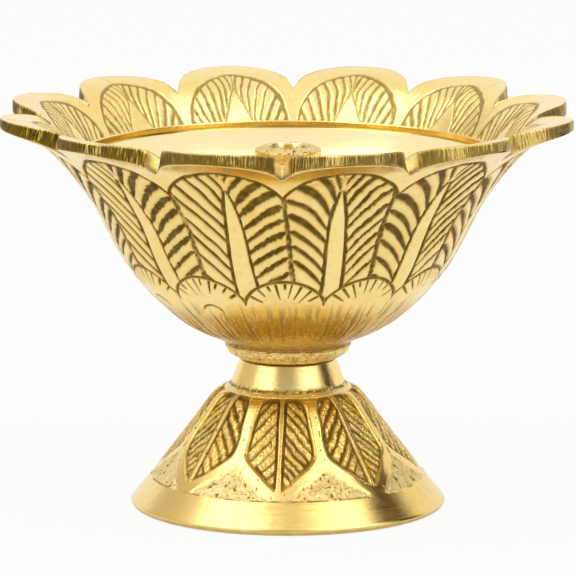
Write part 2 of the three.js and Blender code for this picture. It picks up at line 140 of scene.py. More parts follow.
def groove(distance, width, soft=0.12):
    """1 in the middle of a cut of that width, 0 outside it. The distance is from its middle line."""
    return 1 - smooth(width / 2 - soft, width / 2 + soft, np.abs(distance))


# The last argument of noise and of pick is its seed, so every run draws the same numbers

def noise(turn, rise, cells, seed):
    """Smooth noise from -1 to 1. turn goes from 0 to 1 round the axis and wraps, rise from 0 to 1."""
    across, up = cells
    lattice = np.random.default_rng(seed).uniform(-1, 1, (up + 2, across))
    x = (turn % 1.0) * across
    y = np.clip(rise, 0, 1) * up
    column = np.floor(x).astype(int)
    row = np.floor(y).astype(int)
    fx = x - column
    fy = y - row
    fx = fx * fx * (3 - 2 * fx)
    fy = fy * fy * (3 - 2 * fy)
    right = (column + 1) % across
    column = column % across
    low = mix(lattice[row, column], lattice[row, right], fx)
    high = mix(lattice[row + 1, column], lattice[row + 1, right], fx)
    return mix(low, high, fy)


def pick(keys, seed):
    """One steady random number from -1 to 1 for each whole number in keys."""
    draws = np.random.default_rng(seed).uniform(-1, 1, 512)
    return draws[np.asarray(keys).astype(int) % len(draws)]


def spline(points, steps=40):
    """Points along the CAD source's smooth curve through [radius, height] points."""
    p = np.array(points, float)
    last = len(p) - 1
    place = np.linspace(0, last, steps * len(p))
    at = np.minimum(place.astype(int), last - 1)
    t = (place - at)[:, None]
    before, here = p[np.maximum(at - 1, 0)], p[at]
    after, beyond = p[at + 1], p[np.minimum(at + 2, last)]
    v0, v1 = (after - before) / 2, (beyond - here) / 2
    bend = 2 * here - 2 * after + v0 + v1
    return bend * t**3 + (3 * after - 3 * here - 2 * v0 - v1) * t**2 + v0 * t + here


class Skin:
    """An outline turned round the axis, read at a height, with its outward normal."""

    def __init__(self, points):
        self.line = spline(points)
        along = np.gradient(self.line, axis=0)
        along /= np.linalg.norm(along, axis=1)[:, None]
        self.normal = np.stack([along[:, 1], -along[:, 0]], 1)

    def radius(self, height):
        return np.interp(height, self.line[:, 1], self.line[:, 0])

    def height(self, radius):
        return np.interp(radius, self.line[:, 0], self.line[:, 1])

    def offset(self, height, out):
        """[radius, height] of the skin's points, moved out by a relief or in by a wall."""
        nr = np.interp(height, self.line[:, 1], self.normal[:, 0])
        nz = np.interp(height, self.line[:, 1], self.normal[:, 1])
        return self.radius(height) + out * nr, height + out * nz

    def inner(self, heights, wall):
        """[radius, height] points on the inner side of a wall under the skin."""
        return [tuple(float(v) for v in self.offset(height, -wall)) for height in heights]


# Meshes from rows of points round the axis

# Masks that each point of a mesh carries for its material: real patina, roughness, file marks and
# turning, and also painted shade, shadow, reflection and highlight
MASKS = ("patina", "rough", "filed", "warm", "pale", "turned")

# Rows fill the UV map up to 1 / UV_ROOM of its height, which leaves a strip for closing faces
UV_ROOM = 1.02


class Rows:
    """Rows of points that run along a body's outline. Each band adds rows with their masks, painted
    shade and highlight among them.
    """

    def __init__(self, columns):
        self.azimuth = np.arange(columns) * 360 / columns
        self.turn = self.azimuth / 360
        self.parts = []

    def add(self, radius, height, **finish_and_shade):
        """Adds a band. Its arrays are [row, column], or anything that spreads to that."""
        shape = (np.shape(height)[0], len(self.azimuth))
        values = [radius, height, *(finish_and_shade.get(mask, 0.0) for mask in MASKS)]
        self.parts.append(np.stack([np.broadcast_to(np.asarray(v, float), shape) for v in values]))

    def circles(self, points, **finish_and_shade):
        """Adds plain circles at [radius, height] points."""
        p = np.array(points, float)
        self.add(p[:, :1], p[:, 1:], **finish_and_shade)

    def mesh(self, name, base, closed):
        """The body as an object. Where it isn't closed round a bore, its ends close on the axis."""
        radius, height, *finishes_and_shades = np.concatenate(self.parts, axis=1)
        rows, columns = radius.shape
        angle = np.radians(self.azimuth)
        points = np.stack([radius * np.sin(angle), -radius * np.cos(angle), height + base], 2)
        points = points.reshape(-1, 3)
        step = np.hypot(np.diff(radius.mean(1)), np.diff(height.mean(1)))
        rise = np.concatenate([[0], np.cumsum(step)])
        rise /= rise[-1] * UV_ROOM
        row, column = np.meshgrid(np.arange(rows - 1 + closed), np.arange(columns), indexing="ij")
        row, column = row.ravel(), column.ravel()
        above, beside = (row + 1) % rows, (column + 1) % columns
        corners = [(row, column), (row, beside), (above, beside), (above, column)]
        faces = np.stack([r * columns + c for r, c in corners], 1)
        rise_above = np.where(above == 0, 1.0, rise[above])
        across, next_across = column / columns, (column + 1) / columns
        uv = np.stack([across, rise[row], next_across, rise[row],
                       next_across, rise_above, across, rise_above], 1).reshape(-1, 2)
        masks = {mask: finish_and_shade.ravel() for mask, finish_and_shade in zip(MASKS, finishes_and_shades)}
        loops = [faces.ravel()]
        starts = [np.arange(len(faces)) * 4]
        if not closed:
            poles = [(0, height[0, 0]), (rows - 1, height[-1, 0])]
            around = np.arange(columns)
            for flip, (ring, pole_height) in enumerate(poles):
                points = np.append(points, [[0, 0, pole_height + base]], 0)
                masks = {k: np.append(v, v[ring * columns]) for k, v in masks.items()}
                here, there = ring * columns + around, ring * columns + (around + 1) % columns
                first, second = (here, there) if flip else (there, here)
                fan = np.stack([first, second, np.full(columns, len(points) - 1)], 1)
                starts.append(sum(map(len, loops)) + np.arange(columns) * 3)
                loops.append(fan.ravel())
                end = rise[ring]
                fan_uv = np.stack([around / columns, np.full(columns, end)] * 3, 1).reshape(-1, 3, 2)
                fan_uv[:, 1, 0] += 1 / columns
                fan_uv[:, 2, 1] += 0.01 if flip else 0
                uv = np.append(uv, fan_uv.reshape(-1, 2), 0)
        return mesh_object(name, points * MM, np.concatenate(loops), np.concatenate(starts), uv, masks)


def mesh_object(name, points, loops, starts, uv, masks):
    mesh = bpy.data.meshes.new(name)
    mesh.vertices.add(len(points))
    mesh.vertices.foreach_set("co", points.astype(np.float32).ravel())
    mesh.loops.add(len(loops))
    mesh.loops.foreach_set("vertex_index", loops.astype(np.int32))
    mesh.polygons.add(len(starts))
    mesh.polygons.foreach_set("loop_start", starts.astype(np.int32))
    mesh.update(calc_edges=True)
    layer = mesh.uv_layers.new(name="OFBake")
    layer.uv.foreach_set("vector", uv.astype(np.float32).ravel())
    for key, values in masks.items():
        attribute = mesh.attributes.new(key, "FLOAT", "POINT")
        attribute.data.foreach_set("value", np.clip(values, 0, 1).astype(np.float32))
    mesh.validate()
    mesh.shade_smooth()
    made = bpy.data.objects.new(name, mesh)
    bpy.context.scene.collection.objects.link(made)
    return made


# Materials

class Shader:
    """A material's node tree, with short calls for the nodes that the brasses need."""

    def __init__(self, name):
        self.material = bpy.data.materials.new(name)
        self.material.use_nodes = True
        self.tree = self.material.node_tree
        self.surface = self.tree.nodes["Principled BSDF"]

    def node(self, kind, **values):
        made = self.tree.nodes.new(kind)
        for key, value in values.items():
            setattr(made, key, value)
        return made

    def link(self, output, socket):
        self.tree.links.new(output, socket)

    def mask(self, name):
        return self.node("ShaderNodeAttribute", attribute_name=name).outputs["Fac"]

    def noise(self, scale, detail=3.0, stretch=(1, 1, 1), coordinates="Object"):
        """Noise whose scale is cells for each metre, or each turn where it reads the UV map."""
        place = self.node("ShaderNodeTexCoord").outputs[coordinates]
        mapping = self.node("ShaderNodeMapping")
        mapping.inputs["Scale"].default_value = stretch
        self.link(place, mapping.inputs["Vector"])
        texture = self.node("ShaderNodeTexNoise")
        texture.inputs["Scale"].default_value = scale
        texture.inputs["Detail"].default_value = detail
        self.link(mapping.outputs["Vector"], texture.inputs["Vector"])
        return texture.outputs["Fac"]

    def math(self, operation, a, b):
        made = self.node("ShaderNodeMath", operation=operation, use_clamp=False)
        for socket, value in zip(made.inputs, (a, b)):
            if isinstance(value, (int, float)):
                socket.default_value = value
            else:
                self.link(value, socket)
        return made.outputs[0]

    def span(self, value, low, high, to_low, to_high):
        """Maps a value from one range to another, held at its ends."""
        made = self.node("ShaderNodeMapRange", clamp=True)
        for socket, number in zip(made.inputs[1:5], (low, high, to_low, to_high)):
            socket.default_value = number
        self.link(value, made.inputs[0])
        return made.outputs[0]

    def blend(self, share, a, b):
        """Colour a where share is 0, and b where it is 1."""
        made = self.node("ShaderNodeMix", data_type="RGBA")
        self.link(share, made.inputs["Factor"])
        for socket, value in zip((made.inputs[6], made.inputs[7]), (a, b)):
            if isinstance(value, tuple):
                socket.default_value = (*value, 1)
            else:
                self.link(value, socket)
        return made.outputs[2]

    def bump(self, height, distance, normal=None):
        """Bumps whose height 1 is that many metres."""
        made = self.node("ShaderNodeBump")
        made.inputs["Strength"].default_value = 1.0
        made.inputs["Distance"].default_value = distance
        self.link(height, made.inputs["Height"])
        if normal is not None:
            self.link(normal, made.inputs["Normal"])
        return made.outputs["Normal"]


BRASS = (0.98, 0.76, 0.32)
WARM_BRASS = (0.95, 0.69, 0.225)
PALE_BRASS = (0.99, 0.84, 0.47)
GOLD_TINT = (0.84, 0.55, 0.13)
# AMBER is the colour of brass reflected in brass, laid on as painted shade and painted reflection
AMBER = (0.58, 0.32, 0.008)
PATINA_AND_SHADE = (0.12, 0.07, 0.004)
FILED = (0.06, 0.036, 0.002)
FILED_GOLD = (0.2, 0.125, 0.012)
STAINED_BRASS = (0.62, 0.42, 0.15)
DARK_FIBRE, PALE_FIBRE = (0.10, 0.045, 0.02), (0.22, 0.11, 0.05)

# Heights of the bumps of cast grit, turning lines, file marks, plain hardware and fibre
GRIT_BUMP, TURNED_BUMP, FILED_BUMP = 0.00022, 0.00002, 0.00022
HARDWARE_BUMP, FIBRE_BUMP = 0.00003, 0.00008


def carved_brass(name):
    """Cast brass that was polished on its lands, with dark patina in its cuts, and with painted shade,
    shadow, reflection and highlight laid into its colour by its masks.
    """
    shader = Shader(name)
    stains = shader.noise(60, 4)
    clouds = shader.noise(700, 5)
    grit = shader.noise(2600, 4)
    tone = shader.blend(shader.span(stains, 0.35, 0.7, 0, 1), BRASS, WARM_BRASS)
    tone = shader.blend(shader.span(clouds, 0.5, 0.75, 0, 0.4), tone, GOLD_TINT)
    # Amber from this mask is mostly painted shade and painted reflection: on the low bowl, beside the
    # cuts, at the step, over the foot's leaves and on the post
    warm = shader.math("MULTIPLY", shader.mask("warm"), shader.span(clouds, 0.3, 0.65, 0.8, 1.0))
    tone = shader.blend(warm, tone, AMBER)
    # The pale mask paints highlights: the bright facets of the notches, the sheen of the turned
    # inside, the light creases and rim of the post's cup; it also makes the foot's panels lighter
    tone = shader.blend(shader.mask("pale"), tone, PALE_BRASS)
    # The file marks on the rim's face, laid darker on the lamp's left side as painted shade
    filed = shader.mask("filed")
    tone = shader.blend(shader.math("MULTIPLY", filed, 0.55), tone, GOLD_TINT)
    strokes = shader.noise(1, 4, (1500, 60, 1), "UV")
    worn = shader.noise(1, 3, (110, 9, 1), "UV")
    shine = shader.math("ADD", strokes, shader.span(worn, 0.35, 0.65, -0.16, 0.12))
    shine = shader.math("SUBTRACT", shine, shader.span(filed, 0.7, 1.0, -0.01, 0.16))
    dark_strokes = shader.math("MULTIPLY", filed, shader.span(shine, 0.44, 0.6, 1.0, 0.1))
    filed_tone = shader.blend(shader.span(strokes, 0.34, 0.56, 0, 1), FILED, FILED_GOLD)
    colour = shader.blend(dark_strokes, tone, filed_tone)
    # This mask is real patina in the cuts, pits and hollows, and painted shade and shadow at the
    # notches, the step, the low bowl and the cup's lobes
    patina = shader.mask("patina")
    dark = shader.math("MULTIPLY", patina, shader.span(clouds, 0.3, 0.6, 0.82, 1.0))
    colour = shader.blend(dark, colour, PATINA_AND_SHADE)
    shader.link(colour, shader.surface.inputs["Base Color"])
    rough = shader.mask("rough")
    wear = shader.span(clouds, 0.3, 0.75, 0.16, 0.25)
    for finish_and_shade, dulling in ((dark, 0.3), (rough, 0.14), (dark_strokes, 0.25)):
        wear = shader.math("ADD", wear, shader.math("MULTIPLY", finish_and_shade, dulling))
    shader.link(wear, shader.surface.inputs["Roughness"])
    shader.link(shader.span(dark, 0, 1, 1, 0.6), shader.surface.inputs["Metallic"])
    shader.surface.inputs["Specular IOR Level"].default_value = 0.1
    pits = shader.math("MULTIPLY", shader.math("ADD", rough, 0.04), grit)
    normal = shader.bump(pits, GRIT_BUMP)
    lines = shader.noise(1, 2, (3, 900, 1), "UV")
    turned = shader.math("MULTIPLY", shader.mask("turned"), lines)
    normal = shader.bump(turned, TURNED_BUMP, normal)
    normal = shader.bump(shader.math("MULTIPLY", filed, strokes), FILED_BUMP, normal)
    shader.link(normal, shader.surface.inputs["Normal"])
    return shader.material


def hardware_brass(name):
    """Plain brass of the stud, nut and washer."""
    shader = Shader(name)
    stains = shader.noise(500, 4)
    tone = shader.blend(shader.span(stains, 0.3, 0.7, 0, 1), WARM_BRASS, STAINED_BRASS)
    shader.link(tone, shader.surface.inputs["Base Color"])
    shader.link(shader.span(stains, 0.3, 0.7, 0.28, 0.45), shader.surface.inputs["Roughness"])
    shader.surface.inputs["Metallic"].default_value = 1.0
    shader.link(shader.bump(shader.noise(4000, 3), HARDWARE_BUMP), shader.surface.inputs["Normal"])
    return shader.material


def oiled_fibre(name):
    """Brown pressed fibre, dark with oil."""
    shader = Shader(name)
    fibres = shader.noise(1800, 5, (1, 1, 6))
    tone = shader.blend(shader.span(fibres, 0.3, 0.7, 0, 1), DARK_FIBRE, PALE_FIBRE)
    shader.link(tone, shader.surface.inputs["Base Color"])
    shader.link(shader.span(fibres, 0.3, 0.7, 0.5, 0.8), shader.surface.inputs["Roughness"])
    shader.link(shader.bump(fibres, FIBRE_BUMP), shader.surface.inputs["Normal"])
    return shader.material


# Bowl

BOWL_SKIN = Skin(BOWL_POINTS)
STEP_RADIUS, STEP_HEIGHT = BOWL_SKIN.inner([STEP_SKIN_HEIGHT], STEP_WALL)[0]
FLARE_SKIN = Skin([
    (STEP_RADIUS, STEP_HEIGHT),
    (NOTCH_RADIUS, NOTCH_HEIGHT + NOTCH_THICKNESS),
    (TIP_RADIUS, TIP_HEIGHT + TIP_THICKNESS),
])


def petal_reach(across):
    """Share of the petal's reach at an angle from its middle line: 1 at the tip, 0 in the notch."""
    return (1 - np.clip(np.abs(across) / HALF_PETAL, 0, 1) ** PETAL_FULLNESS) ** PETAL_SHOULDER


def across_petal(azimuth):
    """Angle from the middle line of the petal that an azimuth falls in."""
    return azimuth % (2 * HALF_PETAL) - HALF_PETAL


def leaf_arch(across):
    """Height of the arch over an outer leaf."""
    fullness = np.cos(np.radians(np.clip(np.abs(across) / HALF_PETAL, 0, 1) * 90)) ** LEAF_ARCH_BOW
    return mix(LEAF_ARCH_SIDE, LEAF_ARCH_TOP, fullness)


def shell_arch(across):
    """Height of the arch over the fan shells, which stand under the notches."""
    fullness = np.sin(np.radians(np.abs(across) / HALF_PETAL * 90)) ** SHELL_ARCH_BOW
    return mix(SHELL_ARCH_SIDE, SHELL_ARCH_TOP, fullness)


def across_line(line, across, height, radius):
    """Distance in millimetres from a line that is drawn as height over angle, above it positive."""
    step = 0.05
    slope = (line(np.abs(across) + step) - line(np.abs(across) - step)) / (2 * step)
    slope = slope / (np.radians(1) * radius)
    return (height - line(across)) / np.sqrt(1 + slope**2)


def vein_root(beside, height, slope, lowest):
    """Height at which the vein through a point leaves the blade, where beside is 0.

    slope(root) gives a vein's slope from that height. Veins get steeper towards the leaf's top."""
    low = np.full(np.broadcast(beside, height).shape, float(lowest))
    high = np.broadcast_to(height, low.shape) + 1.0
    halvings = 16
    for _ in range(halvings):
        root = (low + high) / 2
        above = root + beside * slope(root) > height
        high = np.where(above, root, high)
        low = np.where(above, low, root)
    return root


def vein_lines(beside, height, pitch, slope, lowest, widening=0.0):
    """Distance in millimetres from the nearest vein, and that vein's number.

    The pitch between two roots is the one at height 0, and grows upwards by the widening."""
    root = vein_root(beside, height, slope, lowest)
    if widening:
        number = np.round(-np.exp(-widening * root) / (widening * pitch) - 0.5) + 0.5
        line = -np.log(np.maximum(-number * widening * pitch, 1e-6)) / widening
    else:
        number = np.round(root / pitch)
        line = number * pitch
    steep = slope(root)
    step = 0.1
    spread = 1 + beside * (slope(root + step) - steep) / step
    return (root - line) * spread / np.sqrt(1 + steep**2), np.round(number)


def vein_key(leaf, side, number):
    """A whole number for a vein's random draws."""
    return leaf * 64 + side * 32 + number


def leaf_slope(root):
    """Slope of an outer leaf's veins, from the root's height above the shells' roots."""
    return 0.75 + 0.45 * smooth(-1, 7, root) + 0.5 * np.clip((root - 15) / 8, 0, 1.3) ** 2


def outer_leaf(azimuth, across, height, radius, turn, rise):
    """Cut depth from 0 to 1, roughness and the painted shade on the flanks of the outer leaves' cuts,
    from shells to arches.

    The arches stand at the true azimuth, and the lines inside them lean a little sideways."""
    near = (azimuth + 180) % 360 - 180
    along = np.clip((height - 18) / 18, 0, 1)
    lean_foot = np.interp(near, LEAN_AZIMUTH, LEAN_FOOT)
    lean_tip = np.interp(near, LEAN_AZIMUTH, LEAN_TIP)
    lean = mix(lean_foot, lean_tip, along)
    leaning = azimuth - np.degrees((lean + 0.25 * noise(turn, rise, (24, 2), 2)) / radius)
    leaf = np.floor(leaning / (2 * HALF_PETAL)) % PETALS
    local = leaning % (2 * HALF_PETAL) - HALF_PETAL
    side = np.where(local < 0, 0, 1)
    right_leaf = leaf < PETALS / 2
    fine = (side == 0) & ~right_leaf
    bold = (side == 0) & right_leaf
    beside_middle = np.radians(np.abs(local)) * radius
    half = np.radians(HALF_PETAL) * radius
    blade = BLADE_HALF_WIDTH * (1 - np.clip((height - BLADE_FOOT) / BLADE_LENGTH, 0, 1) ** 4.0)
    blade = blade + 0.1 * noise(turn, rise, (72, 12), 11)
    beside = np.maximum(beside_middle - blade, 0)
    bent = beside - np.where(fine, 0.02, np.where(bold, 0.05, 0.035)) * beside**2
    wobble = 0.16 * noise(turn, rise, (90, 14), 3) + 0.4 * pick(leaf * 2 + side, 5)
    pitch = np.where(fine, 2.7, np.where(bold, 2.7, 2.3))
    steep = np.where(right_leaf, 1.02, np.where(fine, 0.95, 0.72)) + 0.06 * pick(leaf * 2 + side, 4)

    def vein_slope(root):
        return steep * leaf_slope(root)

    away, number = vein_lines(bent, height + wobble - 12, pitch, vein_slope, -40)
    key = vein_key(leaf, side, number)
    away = away + 0.12 * pick(key, 8)
    chatter = noise(turn, rise, (620, 90), 10)
    width = np.where(fine, 0.44, np.where(bold, 0.66, np.where(right_leaf, 0.62, 0.8)))
    width = width * (1 + 0.22 * pick(key, 7) + 0.15 * noise(turn, rise, (200, 30), 9))
    width = width * np.where(fine, 1.0, mix(0.75, 1.05, along))
    width = width + np.where(fine | bold, 0.0, 0.2) * chatter
    room = half - beside_middle
    narrowing = (0.5 + 0.5 * smooth(0, 2.2, beside)) * (0.4 + 0.6 * smooth(0.3, 1.3, room))
    taper = np.where(fine, 1.0, narrowing)
    cut = groove(away, width * taper + 0.06, 0.17) * smooth(0.15, 0.5, room)
    faded = mix(0.6, 1.0, smooth(14, 24, height)) * (0.9 + 0.1 * chatter)
    cut = cut * np.where(fine | bold, 1.0, faded)
    # Painted shade along both sides of each cut and each parting
    flank_shade = groove(away, width * taper + 0.75, 0.35)
    flank_shade = flank_shade * smooth(0.1, 0.6, room) * smooth(0.0, 0.5, beside)
    under_arch = -across_line(leaf_arch, across, height, radius)
    over_shell = across_line(shell_arch, across, height, radius)
    cut = cut * smooth(0.0, 0.35, beside - 0.15)
    edge_width = np.where(right_leaf, 0.7, np.where(side == 0, 0.65, 0.45))
    edge_width = edge_width * (1 + 0.3 * noise(turn, rise, (120, 40), 13))
    edge = groove(beside_middle - blade - edge_width / 2, edge_width)
    edge = edge * smooth(-0.6, 0.6, BLADE_CUT_TOP - height)
    parting_width = 1.0 * (1 + 0.3 * noise(turn, rise, (200, 40), 15)) + 0.15 * chatter
    parting = groove(room, parting_width, 0.2) * (np.where(right_leaf, 0.75, 0.62) + 0.2 * chatter)
    cut = np.maximum(cut, np.maximum(edge, parting))
    flank_shade = np.maximum(flank_shade, groove(room, parting_width + 0.8, 0.4))
    inside = smooth(0, 0.3, over_shell - 0.1) * smooth(0, 0.25, under_arch)
    cut, flank_shade = cut * inside, flank_shade * inside
    arch = groove(under_arch - 0.1, 0.55 * (1 + 0.3 * noise(turn, rise, (160, 20), 17)))
    rough = cut * np.where(fine | bold, 0.3, 1.0)
    return np.maximum(cut, arch), rough, flank_shade


def fan_shell(across, height, radius, turn, rise):
    """Cuts and crown of the fan shells under the leaves."""
    aside = np.radians(HALF_PETAL - np.abs(across)) * radius * np.where(across < 0, -1, 1)
    root = height - SHELL_ROOT
    angle = np.degrees(np.arctan2(aside, np.maximum(root, 0.01)))
    under = -across_line(shell_arch, across, height, radius)
    reach = np.hypot(aside, root)
    number = np.round(angle / SHELL_SPACING)
    shell = np.floor((turn * 360 + HALF_PETAL) / (2 * HALF_PETAL))
    key = shell * 32 + number + 8
    away = np.radians(angle - number * SHELL_SPACING) * reach + 0.2 * pick(key, 21)
    length = 2.6 + 1.1 * pick(key, 22)
    width = 0.44 * (1 - 0.75 * np.clip(under / 3.2, 0, 1)) * (1 + 0.3 * pick(key, 24))
    stroke = groove(away, width) * smooth(0.1, 0.5, under) * (1 - smooth(length - 0.4, length, under))
    stroke = stroke * smooth(0.3, 1.2, root) * (1 - smooth(*SHELL_STROKE_LEAN, np.abs(angle)))
    arch = 0.85 * groove(under, 0.42 * (1 + 0.3 * noise(turn, rise, (160, 20), 23)))
    arch = arch * smooth(12.2, 13.8, height)
    thumb = groove(np.hypot(aside, root + 1.2) - 2.2, 0.34) * smooth(-0.9, 0.2, root)
    thumb = thumb * smooth(-0.1, 0.4, pick(shell, 25) - aside / 3)
    crown = SHELL_CROWN * np.clip(1 - (reach / 7.0) ** 2, 0, 1) * smooth(-3.5, -0.5, root)
    return np.maximum(np.maximum(stroke, arch), 0.7 * thumb), crown


def bowl_relief(azimuth, height):
    """Relief in millimetres and the masks of the bowl's outer skin, painted shade and reflection among
    them.
    """
    across = across_petal(azimuth)
    turn = azimuth / 360 + 0 * height
    rise = height / BOWL_SPAN
    radius = BOWL_SKIN.radius(height)
    wavy = height + 0.1 * noise(turn, rise, (90, 15), 1)
    over_shell = across_line(shell_arch, across, wavy, radius)
    leaf_cut, leaf_rough, flank_shade = outer_leaf(azimuth, across, wavy, radius, turn, rise)
    shell_cut, crown = fan_shell(across, wavy, radius, turn, rise)
    in_leaf = over_shell > 0
    cut = np.where(in_leaf, np.maximum(leaf_cut, 0.7 * groove(over_shell - 0.1, 0.36)), shell_cut)
    low = 1 - smooth(10.0, 12.5, height)
    cut = cut * smooth(CARVING_FLOOR, CARVING_FLOOR + 1.5, height)
    ribs = np.sin(2 * np.pi * (azimuth / 2.9 + 0.5 * noise(turn, rise, (120, 22), 31)))
    ribs = low * 0.06 * ribs * smooth(4.2, 6.0, height)
    ribs = ribs * (0.6 + 0.4 * noise(turn, rise, (60, 14), 32))
    below_shells = smooth(4.5, 6.5, height) * (1 - smooth(11.0, 14.5, height)) * (1 - in_leaf)
    strokes = smooth(0.25, 0.6, noise(turn + 0.004 * rise, rise, (300, 7), 37)) * below_shells
    polish = 0.035 * noise(turn, rise, (72, 16), 33) + 0.012 * noise(turn, rise, (220, 44), 34)
    relief = -CUT_DEPTH * cut * (0.85 + 0.15 * noise(turn, rise, (400, 80), 35)) + ribs + polish
    relief = relief + np.where(in_leaf, 0, crown) - 0.09 * strokes
    # The blotches that darken the low bowl are painted reflection of the foot and its shadow; the
    # strokes under the shells are real scratches with patina
    blotch = np.clip(0.5 + noise(turn, rise, (90, 20), 36), 0, 1)
    stain = np.maximum(0.1 * low * blotch, 0.45 * strokes)
    rough = 0.08 + 0.75 * leaf_rough + 0.3 * low
    # Amber in and beside the cuts is painted shade on their sloping sides; amber low on the bowl,
    # fading out between 8.5 and 13.5 mm, is painted reflection of the foot
    cut_shade = np.maximum(0.6 * smooth(0.02, 0.35, cut), 0.3 * flank_shade * in_leaf)
    warm = np.maximum(0.8 * (1 - smooth(8.5, 13.5, height)), cut_shade)
    patina = np.maximum(0.97 * smooth(0.25, 0.8, cut), stain)
    return relief, {"patina": patina, "rough": rough, "warm": warm}


def inner_edge_angle(radius):
    """Half the width of an inner leaf, in degrees, at a radius of the flare."""
    out = np.clip((radius - STEP_RADIUS) / INNER_LEAF_LENGTH, 0, 1)
    return INNER_LEAF_ANGLE * (1 - out ** 2)


def inner_leaf(azimuth, radius):
    """Cuts of the leaves on the inner flare, at a radius."""
    across = across_petal(azimuth)
    leaf = np.floor(azimuth / (2 * HALF_PETAL))
    side = np.where(across < 0, 0, 1)
    turn = azimuth / 360 + 0 * radius
    rise = (radius - STEP_RADIUS) / (TIP_RADIUS - STEP_RADIUS)
    wave = 0.2 * noise(turn, rise, (150, 8), 41)
    aside = np.radians(np.abs(across)) * radius + wave
    out = radius - STEP_RADIUS
    half = np.radians(inner_edge_angle(radius)) * radius
    slope = (np.radians(inner_edge_angle(radius + 0.1)) * (radius + 0.1) - half) / 0.1
    inside = (half - aside) / np.sqrt(1 + slope**2)
    left = 1 - out / (4.4 + 0.5 * pick(leaf, 43))
    blade = 1.35 * (left + np.sqrt(left**2 + 0.02)) - 0.05
    beside = np.maximum(aside - blade, 0)
    steep = np.where(side == 0, 1.0, 1.25) + 0.15 * pick(leaf * 2 + side, 44)

    def vein_slope(root):
        return steep * np.exp(0.25 * np.clip(root, -6, 6))

    pitch = np.where(side == 0, 0.92, 1.0)
    away, number = vein_lines(beside, out + 0.4 * pick(leaf, 45), pitch, vein_slope, -20, 0.2)
    width = 0.38 * (1 + 0.3 * pick(vein_key(leaf, side, number), 46))
    width = width + 0.12 * noise(turn, rise, (500, 30), 48)
    cut = groove(away, width, 0.12) * smooth(0.1, 0.4, beside) * smooth(0.1, 0.35, inside)
    blade_edge = groove(aside - blade, 0.32) * smooth(0.0, 0.3, inside)
    outline_width = np.where(side == 0, 0.72, 0.5) + 0.22 * noise(turn, rise, (260, 14), 47)
    outline = groove(inside, outline_width)
    within = smooth(-0.4, 0.1, INNER_LEAF_LENGTH - out)
    cut = np.maximum(np.maximum(cut, blade_edge * 0.85), outline * within)
    return cut * smooth(0.1, 0.4, out)


def add_boss(rows):
    """The rough cast ring under the bowl, with pits and a dark crease above it."""
    turn = rows.turn[None, :]
    underside = [(HOLE_RADIUS, 0), (6, 0), (BOSS_FOOT_RADIUS - 0.3, 0), (BOSS_FOOT_RADIUS, 0.15)]
    rows.circles(underside, patina=0.7)
    crease = (BOSS_RADIUS - 0.3, BOSS_HEIGHT + 0.42)
    bulge = [(BOSS_FOOT_RADIUS + 0.05, 0.2), (10.45, 0.95), (10.85, 1.6)]
    shoulder = [(BOSS_RADIUS, BOSS_HEIGHT - 0.2), (BOSS_RADIUS - 0.05, BOSS_HEIGHT + 0.05)]
    boss = spline([*bulge, *shoulder, crease, BOWL_POINTS[0]], 5)[1:-1]
    share = shares(len(boss))
    cast = 0.16 * noise(turn, share, (90, 8), 52) * np.sin(np.pi * share)
    pits = np.clip(noise(turn, share, (260, 14), 53) - 0.5, 0, 1)
    # A darker line along the crease over the ring
    darkening = 0.5 * groove(boss[:, 1:] - crease[1], 0.5, 0.2)
    stain = smooth(0.0, 0.2, pits) * 0.6
    radius = boss[:, :1] + cast - 0.25 * pits
    rows.add(radius, boss[:, 1:], patina=np.maximum(stain, darkening), rough=0.8, warm=0.15)


